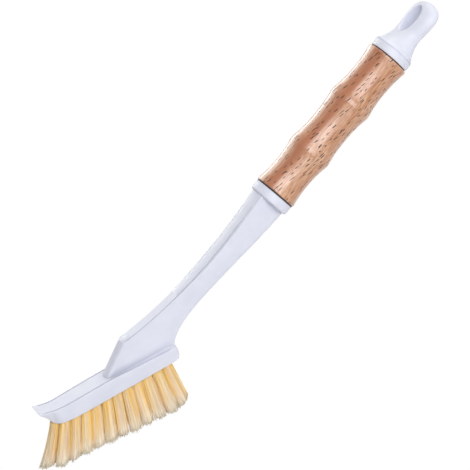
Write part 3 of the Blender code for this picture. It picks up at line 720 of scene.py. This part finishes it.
class Tuft:
    """Bundle that leaves its hole, bows towards the nose and ends at the tips' cut.

    A place of its section is given as shares, from -1 to 1, across the bundle towards the nose and
    aside to the far side.
    """

    def __init__(self, label, reach, offset, side_lean):
        self.rng = random.Random(label)
        self.reach, self.offset, self.side_lean = reach, offset, side_lean
        self.lean, self.length = tuft_lean(reach), tuft_length(reach)
        self.root_height = foot_height(reach) + ROOT_SINK
        root_lean = self.lean * ROOT_LEAN_SHARE
        self.half_way = Vector((-math.sin(root_lean), 0.0, -math.cos(root_lean))) * self.length / 2
        self.is_nose = label == "nose"
        if self.is_nose:
            self.root_side_half = NOSE_ROOT_SIDE_HALF
            self.tip_half, self.tip_side_half = NOSE_TIP_HALF, NOSE_TIP_SIDE_HALF
        else:
            fan = (FRONT_LEAN - REAR_LEAN) / ROW_COUNT
            self.root_side_half = HOLE_RADIUS - FILAMENT_RADIUS
            self.tip_half = TIP_FILL_SHARE * (ROW_PITCH + self.length * fan) / 2
            self.tip_side_half = TIP_SIDE_HALF
        self.uneven = TUFT_RAGGED * self.rng.uniform(-1.0, 1.0)
        self.clumps = [self.rng.random() for _ in range(CLUMPS)]

    def curve(self, across, aside, ragged, stray=(0.0, 0.0), bow=(0.0, 0.0)):
        """Root, middle and tip of the filament at a place of the section."""
        root_side = self.offset + self.root_side_half * aside
        root = Vector((-self.reach - ROOT_HALF * across, root_side, self.root_height))
        swell = 0.0 if self.is_nose else SWELL * across
        middle = root + self.half_way + Vector((bow[0] - swell, bow[1], 0.0))
        forward, sideways = self.length * math.sin(self.lean), self.length * math.sin(self.side_lean)
        tip_reach = self.reach + forward + self.tip_half * across + stray[0]
        tip_side = self.offset + sideways + self.tip_side_half * aside + stray[1]
        dome = TIP_DOME * across * across
        fall = TIP_DEPTH - tip_reach * math.tan(TIP_TILT) + ragged + self.uneven - dome
        return root, middle, Vector((-tip_reach, tip_side, -fall))

    def facing(self, across, aside):
        """How far a place of the section faces out of the brush, from -1 to 1."""
        if self.is_nose:
            return NOSE_FACING_CHANGE * across + NOSE_FACING
        return math.copysign(1.0, self.offset) * aside

    def shade(self, angle):
        """Shade at an angle round the bundle, alike within a clump."""
        clump = self.clumps[int(angle / (2 * math.pi) * CLUMPS) % CLUMPS]
        return CLUMP_SHARE * clump + (1 - CLUMP_SHARE) * self.rng.random()


def add_core(bm, layer, tuft):
    """Add the ribbed core of a tuft, which closes the gaps between its filaments."""
    rings = [[] for _ in range(CORE_RUNS + 1)]
    for side in range(CORE_SIDES):
        angle = 2 * math.pi * side / CORE_SIDES
        out = CORE_SHARE - CORE_RIB_SHARE * tuft.rng.random()
        shade = tuft.shade(angle)
        across, aside = out * math.cos(angle), out * math.sin(angle)
        curve = tuft.curve(across, aside, TIP_RAGGED * tuft.rng.uniform(*CORE_RAGGED_SHARES))
        end = share_above_table(curve, CORE_END_SHARE)
        for step, ring in enumerate(rings):
            t = end * step / CORE_RUNS
            vertex = bm.verts.new(HEAD @ along_curve(curve, t))
            vertex[layer] = (t, shade, tuft.facing(across, aside))
            ring.append(vertex)
    skin_closed(bm, rings)


def add_filament(bm, layer, points, tints):
    """Add one closed filament along points of the head's frame."""
    rings = []
    for index, point in enumerate(points):
        ahead = points[min(index + 1, len(points) - 1)] - points[max(index - 1, 0)]
        turn = ahead.to_track_quat("Z", "Y").to_matrix()
        ring = []
        for side in range(FILAMENT_SIDES):
            angle = 2 * math.pi * side / FILAMENT_SIDES
            off_axis = Vector((FILAMENT_RADIUS * math.cos(angle), FILAMENT_RADIUS * math.sin(angle), 0.0))
            vertex = bm.verts.new(HEAD @ (point + turn @ off_axis))
            vertex[layer] = tints[index]
            ring.append(vertex)
        rings.append(ring)
    skin_closed(bm, rings)


def add_filaments(bm, layer, tuft):
    """Add a tuft's filaments, spread over its section by the golden angle and crowded outwards."""
    rng = tuft.rng
    for index in range(FILAMENTS):
        out = ((2 * index + 1) / (2 * FILAMENTS)) ** FILAMENT_CROWDING
        turn = index * math.pi * (3 - math.sqrt(5))
        across, aside = out * math.cos(turn), out * math.sin(turn)
        stray = (rng.gauss(0, STRAY), rng.gauss(0, STRAY))
        bow = (rng.gauss(0, BOW), rng.gauss(0, BOW))
        curve = tuft.curve(across, aside, TIP_RAGGED * rng.uniform(-1.0, 1.0), stray, bow)
        shade = tuft.shade(turn)
        end = share_above_table(curve, 1.0)
        shares = [end * step / FILAMENT_RUNS for step in range(FILAMENT_RUNS + 1)]
        points = [along_curve(curve, t) for t in shares]
        add_filament(bm, layer, points, [(t, shade, tuft.facing(across, aside)) for t in shares])


def make_tuft(label, reach, offset, side_lean, material):
    """Dressed tuft, whose vertices keep their share from root to tip, shade and facing as a tint."""
    tuft = Tuft(label, reach, offset, side_lean)
    bm = bmesh.new()
    layer = bm.verts.layers.float_vector.new("tint")
    add_core(bm, layer, tuft)
    add_filaments(bm, layer, tuft)
    bristles = mesh_object(f"bristles_{label}", bm)
    bristles.data.shade_smooth()
    dress(bristles, material, "bristle", f"tuft_{label}")


class Nodes:
    """Short way to build a material's nodes."""

    def __init__(self, name):
        self.material = bpy.data.materials.new(name)
        self.material.use_nodes = True
        self.tree = self.material.node_tree
        self.shader = self.tree.nodes["Principled BSDF"]
        self.output = self.tree.nodes["Material Output"]

    def add(self, kind, settings=None, **inputs):
        """Add a node, with settings as attributes and inputs by name or as links."""
        node = self.tree.nodes.new(kind)
        for key, value in (settings or {}).items():
            setattr(node, key, value)
        for key, value in inputs.items():
            self.put(node, key.replace("_", " "), value)
        return node

    def put(self, node, name, value):
        """Set or link one input of a node."""
        socket = node.inputs[name]
        if isinstance(value, bpy.types.NodeSocket):
            self.tree.links.new(value, socket)
        else:
            socket.default_value = value

    def surface(self, **inputs):
        """Set or link the shader's inputs, and return the material."""
        for key, value in inputs.items():
            self.put(self.shader, key.replace("_", " "), value)
        return self.material

    def math(self, operation, first, second=0.0, third=0.0):
        """Add a maths node and return its result."""
        node = self.tree.nodes.new("ShaderNodeMath")
        node.operation = operation
        for index, value in enumerate((first, second, third)):
            self.put(node, index, value)
        return node.outputs[0]

    def times(self, first, second):
        """Product of two values."""
        return self.math("MULTIPLY", first, second)

    def line(self, value, slope, offset):
        """Value times a slope, plus an offset."""
        return self.math("MULTIPLY_ADD", value, slope, offset)

    def held(self, value, low, high):
        """Value kept between two limits."""
        return self.math("MINIMUM", self.math("MAXIMUM", value, low), high)

    def over(self, value, threshold):
        """How far a value is over a threshold, from 0."""
        return self.math("MAXIMUM", self.math("SUBTRACT", value, threshold), 0.0)

    def noise(self, place, scale, detail, roughness=0.5):
        """Noise value at a place."""
        return self.add("ShaderNodeTexNoise", Vector=place, Scale=scale, Detail=detail,
                        Roughness=roughness).outputs["Fac"]

    def graded(self, value, start, end):
        """Level that runs between two (value, level) pairs and is held beyond them."""
        slope = (end[1] - start[1]) / (end[0] - start[0])
        level = self.line(value, slope, start[1] - slope * start[0])
        return self.held(level, *sorted((start[1], end[1])))

    def bump(self, height, strength, distance):
        """Normal bumped by a height."""
        return self.add("ShaderNodeBump", Height=height, Strength=strength,
                        Distance=distance).outputs["Normal"]

    def join(self, x, y, z):
        """Vector from three values."""
        return self.add("ShaderNodeCombineXYZ", X=x, Y=y, Z=z).outputs["Vector"]

    def split(self, vector):
        """The three values of a vector."""
        return self.add("ShaderNodeSeparateXYZ", Vector=vector).outputs

    def ramp(self, factor, *stops):
        """Colour ramp over stops of (place, colour)."""
        node = self.tree.nodes.new("ShaderNodeValToRGB")
        node.color_ramp.interpolation = "EASE"
        elements = node.color_ramp.elements
        while len(elements) < len(stops):
            elements.new(0.5)
        for element, (place, colour) in zip(elements, stops):
            element.position = place
            element.color = (*colour, 1.0)
        self.put(node, "Fac", factor)
        return node.outputs["Color"]

    def mix(self, factor, first, second):
        """Mix a linked colour with a plain one."""
        node = self.tree.nodes.new("ShaderNodeMix")
        node.data_type = "RGBA"
        # The sockets of a mix node for colours are its inputs 6 and 7 and its output 2
        for socket, value in ((0, factor), (6, first), (7, (*second, 1.0))):
            self.put(node, socket, value)
        return node.outputs[2]

    def handle_place(self):
        """Position in the handle's frame, in millimetres."""
        inverse = HANDLE.inverted()
        place = self.tree.nodes.new("ShaderNodeTexCoord")
        turned_place = self.add("ShaderNodeMapping", Vector=place.outputs["Object"])
        turned_place.inputs["Rotation"].default_value = inverse.to_euler("XYZ")
        turned_place.inputs["Location"].default_value = inverse.to_translation() / MM
        turned_place.inputs["Scale"].default_value = (1 / MM, 1 / MM, 1 / MM)
        return turned_place.outputs["Vector"]


# Colours, as linear red, green and blue; those with a place are stops of a colour ramp
PLASTIC_STOPS = ((0.3, (0.775, 0.785, 0.885)), (0.7, (0.815, 0.825, 0.915)))
# Painted shade, laid into the plastic's creases
PLASTIC_PAINTED_SHADE = (0.26, 0.27, 0.36)
BEECH_STOPS = ((0.34, (0.53, 0.22, 0.085)), (0.48, (0.65, 0.335, 0.17)), (0.66, (0.73, 0.43, 0.26)))
# Painted shade of the darker band along one side of the grip
BEECH_PAINTED_SHADE_BAND = (0.42, 0.115, 0.026)
BEECH_STREAK = (0.40, 0.125, 0.038)
# Dark of the pores, and painted shadow at the grip's head end
BEECH_PORES_AND_PAINTED_SHADOW = (0.015, 0.005, 0.003)
# The golden low stops are painted shade and glow of light through the bundle; the rest are the filaments'
# own beige
BRISTLE_STOPS = (
    (0.00, (1.00, 0.70, 0.22)),
    (0.13, (1.00, 0.71, 0.28)),
    (0.28, (0.98, 0.77, 0.45)),
    (0.60, (0.94, 0.79, 0.56)),
    (1.00, (0.97, 0.88, 0.69)),
)
BRISTLE_ROSY = (0.96, 0.70, 0.58)
STEEL_STOPS = ((0.3, (0.55, 0.56, 0.58)), (0.7, (0.66, 0.67, 0.69)))
# Painted shadow of the gaps between wood and plastic
GAP_SHADOW_STOPS = ((0.3, (0.012, 0.010, 0.009)), (0.7, (0.03, 0.022, 0.018)))


def white_plastic():
    """Satin moulded plastic, bluish white, with faint flow marks and shade painted into its creases."""
    crease_reach, crease_gain, crease_most = 0.004, 1.25, 0.42
    n = Nodes("white_plastic")
    place = n.handle_place()
    fine = n.noise(place, scale=2.6, detail=3.0, roughness=0.6)
    flow = n.noise(place, scale=0.12, detail=4.0, roughness=0.55)
    base = n.ramp(flow, *PLASTIC_STOPS)
    # Shade is painted into creases: faintly on the cap and collar, growing to full strength along the neck
    painted_shade_strength = n.graded(n.split(place)["X"], start=(-10.0, 0.1), end=(-32.5, 1.0))
    open_share = n.add("ShaderNodeAmbientOcclusion", {"samples": 8, "only_local": True},
                       Distance=crease_reach).outputs["AO"]
    painted_crease_shade = n.math("MINIMUM", n.line(open_share, -crease_gain, crease_gain), crease_most)
    return n.surface(
        Base_Color=n.mix(n.times(painted_crease_shade, painted_shade_strength), base, PLASTIC_PAINTED_SHADE),
        Roughness=n.line(fine, 0.14, 0.34),
        Normal=n.bump(fine, strength=0.08, distance=0.0002),
        Subsurface_Weight=0.10,
        Subsurface_Radius=(1.0, 1.0, 1.1),
        Subsurface_Scale=0.0010,
    )


def pore_dashes(n, x, round_mm, density):
    """Dark dashes of the wood's pores: elongated spots in some cells of a stretched, slanted grid."""
    slant, cells_along, cells_round, edge_gain = 0.19, 0.27, 0.66, 4.0
    slanted = n.math("ADD", round_mm, n.times(x, slant))
    place = n.join(n.times(x, cells_along), n.times(slanted, cells_round), 0.0)
    cells = n.add("ShaderNodeTexVoronoi", {"voronoi_dimensions": "2D"}, Vector=place, Scale=1.0,
                  Randomness=1.0)
    local = n.add("ShaderNodeVectorMath", {"operation": "SUBTRACT"})
    n.put(local, 0, place)
    n.put(local, 1, cells.outputs["Position"])
    offset = n.split(local.outputs["Vector"])
    pick = n.add("ShaderNodeSeparateColor", Color=cells.outputs["Color"]).outputs
    half_length, half_width = n.line(pick[0], 0.34, 0.20), n.line(pick[1], 0.08, 0.10)
    along = n.math("DIVIDE", offset["X"], half_length)
    across = n.math("DIVIDE", offset["Y"], half_width)
    spread = n.math("ADD", n.times(along, along), n.times(across, across))
    dash = n.times(n.math("MAXIMUM", n.math("SUBTRACT", 1.0, spread), 0.0), edge_gain)
    present = n.math("LESS_THAN", pick[2], density)
    return n.times(n.math("MINIMUM", dash, 1.0), present)


def painted_shade_band(n, round_mm, figure):
    """Share of the painted shade: a dark band along one side of the grip, wandering with the figure."""
    place_mm, wander_mm, half_mm = -5.2, 5.0, 4.0
    wander = n.line(figure, wander_mm, -wander_mm / 2)
    off_band = n.math("ADD", n.math("SUBTRACT", round_mm, place_mm), wander)
    fall = n.math("POWER", n.math("DIVIDE", off_band, half_mm), 2.0)
    return n.math("MAXIMUM", n.math("SUBTRACT", 1.0, fall), 0.0)


def lacquered_beech():
    """Lacquered beech with growth figure, fibres, pore dashes, a painted shade band and painted end
    shadow.
    """
    figure_along, fibres_along, fibres_across = 0.06, 0.09, 1.3
    streak_start, streak_gain, streak_most = 0.42, 4.2, 0.75
    n = Nodes("lacquered_beech")
    place = n.handle_place()
    x, y, z = n.split(place)
    round_mm = n.times(n.math("ARCTAN2", y, z), GRIP_WAIST_RADIUS / MM)
    # Figure and fibres are drawn out along the grain
    figure_place = n.join(n.times(x, figure_along), y, z)
    figure = n.noise(figure_place, scale=0.34, detail=3.0, roughness=0.55)
    fibre_place = n.join(n.times(x, fibres_along), n.times(y, fibres_across), n.times(z, fibres_across))
    fibres = n.noise(fibre_place, scale=1.0, detail=4.0, roughness=0.65)
    base = n.ramp(figure, *BEECH_STOPS)
    # Painted shade: a darker band along one side of the grip
    base = n.mix(n.times(painted_shade_band(n, round_mm, figure), 0.95), base, BEECH_PAINTED_SHADE_BAND)
    streaks = n.times(n.over(fibres, streak_start), streak_gain)
    base = n.mix(n.math("MINIMUM", streaks, streak_most), base, BEECH_STREAK)
    pore_density = n.line(n.noise(place, scale=0.09, detail=1.0), 0.70, -0.02)
    dash = pore_dashes(n, x, round_mm, pore_density)
    # Painted shadow: the wood's rounded head end is darkened beside the gap at the collar
    painted_end_shadow = n.graded(x, start=(0.32, 0.0), end=(0.12, 1.0))
    dark = n.math("MAXIMUM", n.times(dash, 0.95), painted_end_shadow)
    height = n.math("SUBTRACT", n.times(fibres, 0.4), dash)
    return n.surface(
        Base_Color=n.mix(dark, base, BEECH_PORES_AND_PAINTED_SHADOW),
        Roughness=n.math("MAXIMUM", n.line(fibres, 0.25, 0.30), dash),
        Normal=n.bump(height, strength=0.25, distance=0.00015),
        Coat_Weight=n.line(dash, -0.60, 0.95),
        Coat_Roughness=0.20,
        Coat_IOR=1.62,
    )


def cream_bristle():
    """Beige filaments, here and there rosy; the golden at roots and inner faces is painted shade and glow.
    """
    facing_gain, down_gain, shade_gain, palest = 2.0, 1.8, 2.6, 3.0
    tip_start, tip_gain = 0.7, 5.0
    rosy_shades, rosy_start, rosy_most = 7.0, 0.72, 0.45
    n = Nodes("cream_bristle")
    tint = n.add("ShaderNodeAttribute", {"attribute_name": "tint"})
    down, shade, facing = n.split(tint.outputs["Vector"])
    # Golden, near the roots and on faces turned into the brush, is painted shade and glow of light through
    # the bundle
    # A filament is paler the more it faces out of the brush, towards its tip, and by its own shade
    pale = n.line(facing, facing_gain, n.line(down, down_gain, -1.5))
    own_pale = n.line(shade, shade_gain, -shade_gain / 2)
    pale = n.math("ADD", pale, n.line(n.over(down, tip_start), tip_gain, own_pale))
    colour = n.ramp(n.times(pale, 1 / palest), *BRISTLE_STOPS)
    rosy = n.math("GREATER_THAN", n.math("FRACT", n.times(shade, rosy_shades)), rosy_start)
    return n.surface(
        Base_Color=n.mix(n.times(rosy, rosy_most), colour, BRISTLE_ROSY),
        Roughness=n.line(shade, 0.2, 0.45),
    )


def anchor_steel():
    """Flat plated wire with drawing marks."""
    n = Nodes("anchor_steel")
    marks = n.noise(n.handle_place(), scale=8.0, detail=2.0)
    return n.surface(
        Base_Color=n.ramp(marks, *STEEL_STOPS),
        Roughness=n.line(marks, 0.2, 0.25),
        Metallic=1.0,
    )


def painted_gap_shadow():
    """Dark painted shadow for the gaps between wood and plastic."""
    n = Nodes("painted_gap_shadow")
    marks = n.noise(n.handle_place(), scale=1.5, detail=2.0)
    return n.surface(Base_Color=n.ramp(marks, *GAP_SHADOW_STOPS), Roughness=n.line(marks, 0.2, 0.5))


# Floor and surroundings
FLOOR_HALF = 4.0
FLOOR_SEGMENTS = 8
FLOOR_DROP = 0.0002
FLOOR_COLOUR = (0.86, 0.86, 0.87, 1.0)
FLOOR_GLOW_SHARE = 0.90
FLOOR_GLOW = 1.06
AMBIENT = 0.28
AMBIENT_COLOUR = (0.97, 0.985, 1.0, 1.0)


def seen_rays(tree):
    """Value that is 1 for the rays by which the surroundings are seen, directly or in a reflection."""
    path = tree.nodes.new("ShaderNodeLightPath")
    value = path.outputs["Is Camera Ray"]
    for name in ("Is Glossy Ray", "Is Transmission Ray"):
        either = tree.nodes.new("ShaderNodeMath")
        either.operation = "MAXIMUM"
        tree.links.new(value, either.inputs[0])
        tree.links.new(path.outputs[name], either.inputs[1])
        value = either.outputs[0]
    return value


def make_floor():
    """Pale floor that shows white and keeps the brush's shadow."""
    bm = bmesh.new()
    bmesh.ops.create_grid(bm, x_segments=FLOOR_SEGMENTS, y_segments=FLOOR_SEGMENTS, size=FLOOR_HALF)
    floor = mesh_object("floor", bm)
    floor.location.z = -FLOOR_DROP
    n = Nodes("floor")
    floor.data.materials.append(n.material)
    n.surface(Base_Color=FLOOR_COLOUR, Roughness=0.9, Specular_IOR_Level=0.1)
    glow = n.add("ShaderNodeEmission", Color=(1.0, 1.0, 1.0, 1.0), Strength=FLOOR_GLOW)
    mix = n.add("ShaderNodeMixShader", Fac=n.times(seen_rays(n.tree), FLOOR_GLOW_SHARE))
    n.put(mix, 1, n.shader.outputs[0])
    n.put(mix, 2, glow.outputs[0])
    n.put(n.output, "Surface", mix.outputs[0])


def make_world():
    """Even ambient light, seen as white."""
    world = bpy.data.worlds.new("studio")
    bpy.context.scene.world = world
    world.use_nodes = True
    tree = world.node_tree
    background = tree.nodes["Background"]
    background.inputs["Color"].default_value = AMBIENT_COLOUR
    level = tree.nodes.new("ShaderNodeMapRange")
    level.inputs["To Min"].default_value = AMBIENT
    level.inputs["To Max"].default_value = 1.0
    tree.links.new(seen_rays(tree), level.inputs["Value"])
    tree.links.new(level.outputs["Result"], background.inputs["Strength"])


# Camera: it looks at the brush from the near side, raised above the handle, and is rolled. One
# place on the handle's axis has a known pixel in the photograph.
CAMERA_RISE = math.radians(35.0)
CAMERA_ROLL = math.radians(50.06)
CAMERA_DISTANCE = 1.2
CAMERA_FAR = 20.0
FRAME_PIXELS = 470
PIXELS_PER_METRE = 2000.0
AIM_PLACE = -0.030
AIM_PIXEL = (236.56, 238.66)
SENSOR_WIDTH = 36.0


def make_camera():
    """Camera at the photograph's angle, with the place that it is aimed by at its pixel."""
    sideways = Vector((1.0, 0.0, 0.0))
    upward = Vector((0.0, math.sin(CAMERA_RISE), math.cos(CAMERA_RISE)))
    backward = Vector((0.0, -math.cos(CAMERA_RISE), math.sin(CAMERA_RISE)))
    image_right = math.cos(CAMERA_ROLL) * sideways - math.sin(CAMERA_ROLL) * upward
    image_up = math.sin(CAMERA_ROLL) * sideways + math.cos(CAMERA_ROLL) * upward
    middle = FRAME_PIXELS / 2
    centre = Vector((AIM_PLACE, 0.0, 0.0))
    centre += (middle - AIM_PIXEL[0]) / PIXELS_PER_METRE * image_right
    centre += (AIM_PIXEL[1] - middle) / PIXELS_PER_METRE * image_up
    data = bpy.data.cameras.new("camera")
    camera = new_object("camera", data)
    turn = Matrix((image_right, image_up, backward)).transposed().to_4x4()
    camera.matrix_world = HANDLE @ Matrix.Translation(centre + backward * CAMERA_DISTANCE) @ turn
    data.sensor_width = SENSOR_WIDTH
    data.lens = SENSOR_WIDTH * CAMERA_DISTANCE * PIXELS_PER_METRE / FRAME_PIXELS
    data.clip_end = CAMERA_FAR
    bpy.context.scene.camera = camera


# Lamps: direction in the handle's frame, distance, sizes along and across the brush, brightness
# against white, and colour. They are turned towards one place on the handle's axis.
LAMP_TARGET = -0.02
LAMPS = (
    ("front", (0.276, -0.787, 0.551), 1.6, (0.66, 1.60), 3.9, (0.97, 0.98, 1.0)),
    ("fill", (0.00, -0.91, 0.41), 1.5, (0.90, 1.20), 1.3, (0.97, 0.98, 1.0)),
    ("back", (0.00, 0.91, 0.42), 1.5, (0.80, 1.15), 1.85, (0.98, 0.99, 1.0)),
    ("rear", (0.00, 0.97, 0.16), 1.5, (0.90, 0.40), 2.4, (0.98, 0.99, 1.0)),
    ("end", (0.88, 0.28, 0.38), 1.5, (0.90, 0.90), 2.5, (1.0, 0.99, 0.91)),
)


def make_lamps():
    """Soft studio panels, each turned towards the middle of the brush and square to its length."""
    target = Vector((LAMP_TARGET, 0.0, 0.0))
    for name, direction, distance, (length, width), brightness, colour in LAMPS:
        data = bpy.data.lights.new(name, "AREA")
        data.shape = "RECTANGLE"
        data.size, data.size_y = length, width
        data.energy = math.pi * length * width * brightness
        data.color = colour
        lamp = new_object(name, data)
        lamp.visible_camera = False
        away = Vector(direction).normalized()
        sideways = (Vector((1.0, 0.0, 0.0)) - away * away.x).normalized()
        turn = Matrix((sideways, away.cross(sideways), away)).transposed().to_4x4()
        lamp.matrix_world = HANDLE @ Matrix.Translation(target + away * distance) @ turn


plastic = white_plastic()
beech = lacquered_beech()
bristle = cream_bristle()
steel = anchor_steel()
gap_shadow_material = painted_gap_shadow()
make_body(plastic)
make_grip(beech)
make_cap(plastic)
# Dark rings that paint the shadow in the gaps at either end of the grip
make_gap_shadow_ring("gap_shadow_ring_head", -SHADOW_GAP, GRIP_HEAD_END_RADIUS - HEAD_GAP_SHADOW_INSET, gap_shadow_material)
make_gap_shadow_ring("gap_shadow_ring_cap", GRIP_LENGTH, CAP_RADIUS - CAP_GAP_SHADOW_INSET, gap_shadow_material)
for site in tuft_sites():
    make_tuft(*site, bristle)
for name, node in frame["nodes"].items():
    if name.startswith("anchor_"):
        node.data.materials.clear()
        node.data.materials.append(steel)
make_floor()
make_world()
make_lamps()
make_camera()
bpy.context.scene.view_settings.view_transform = "Standard"
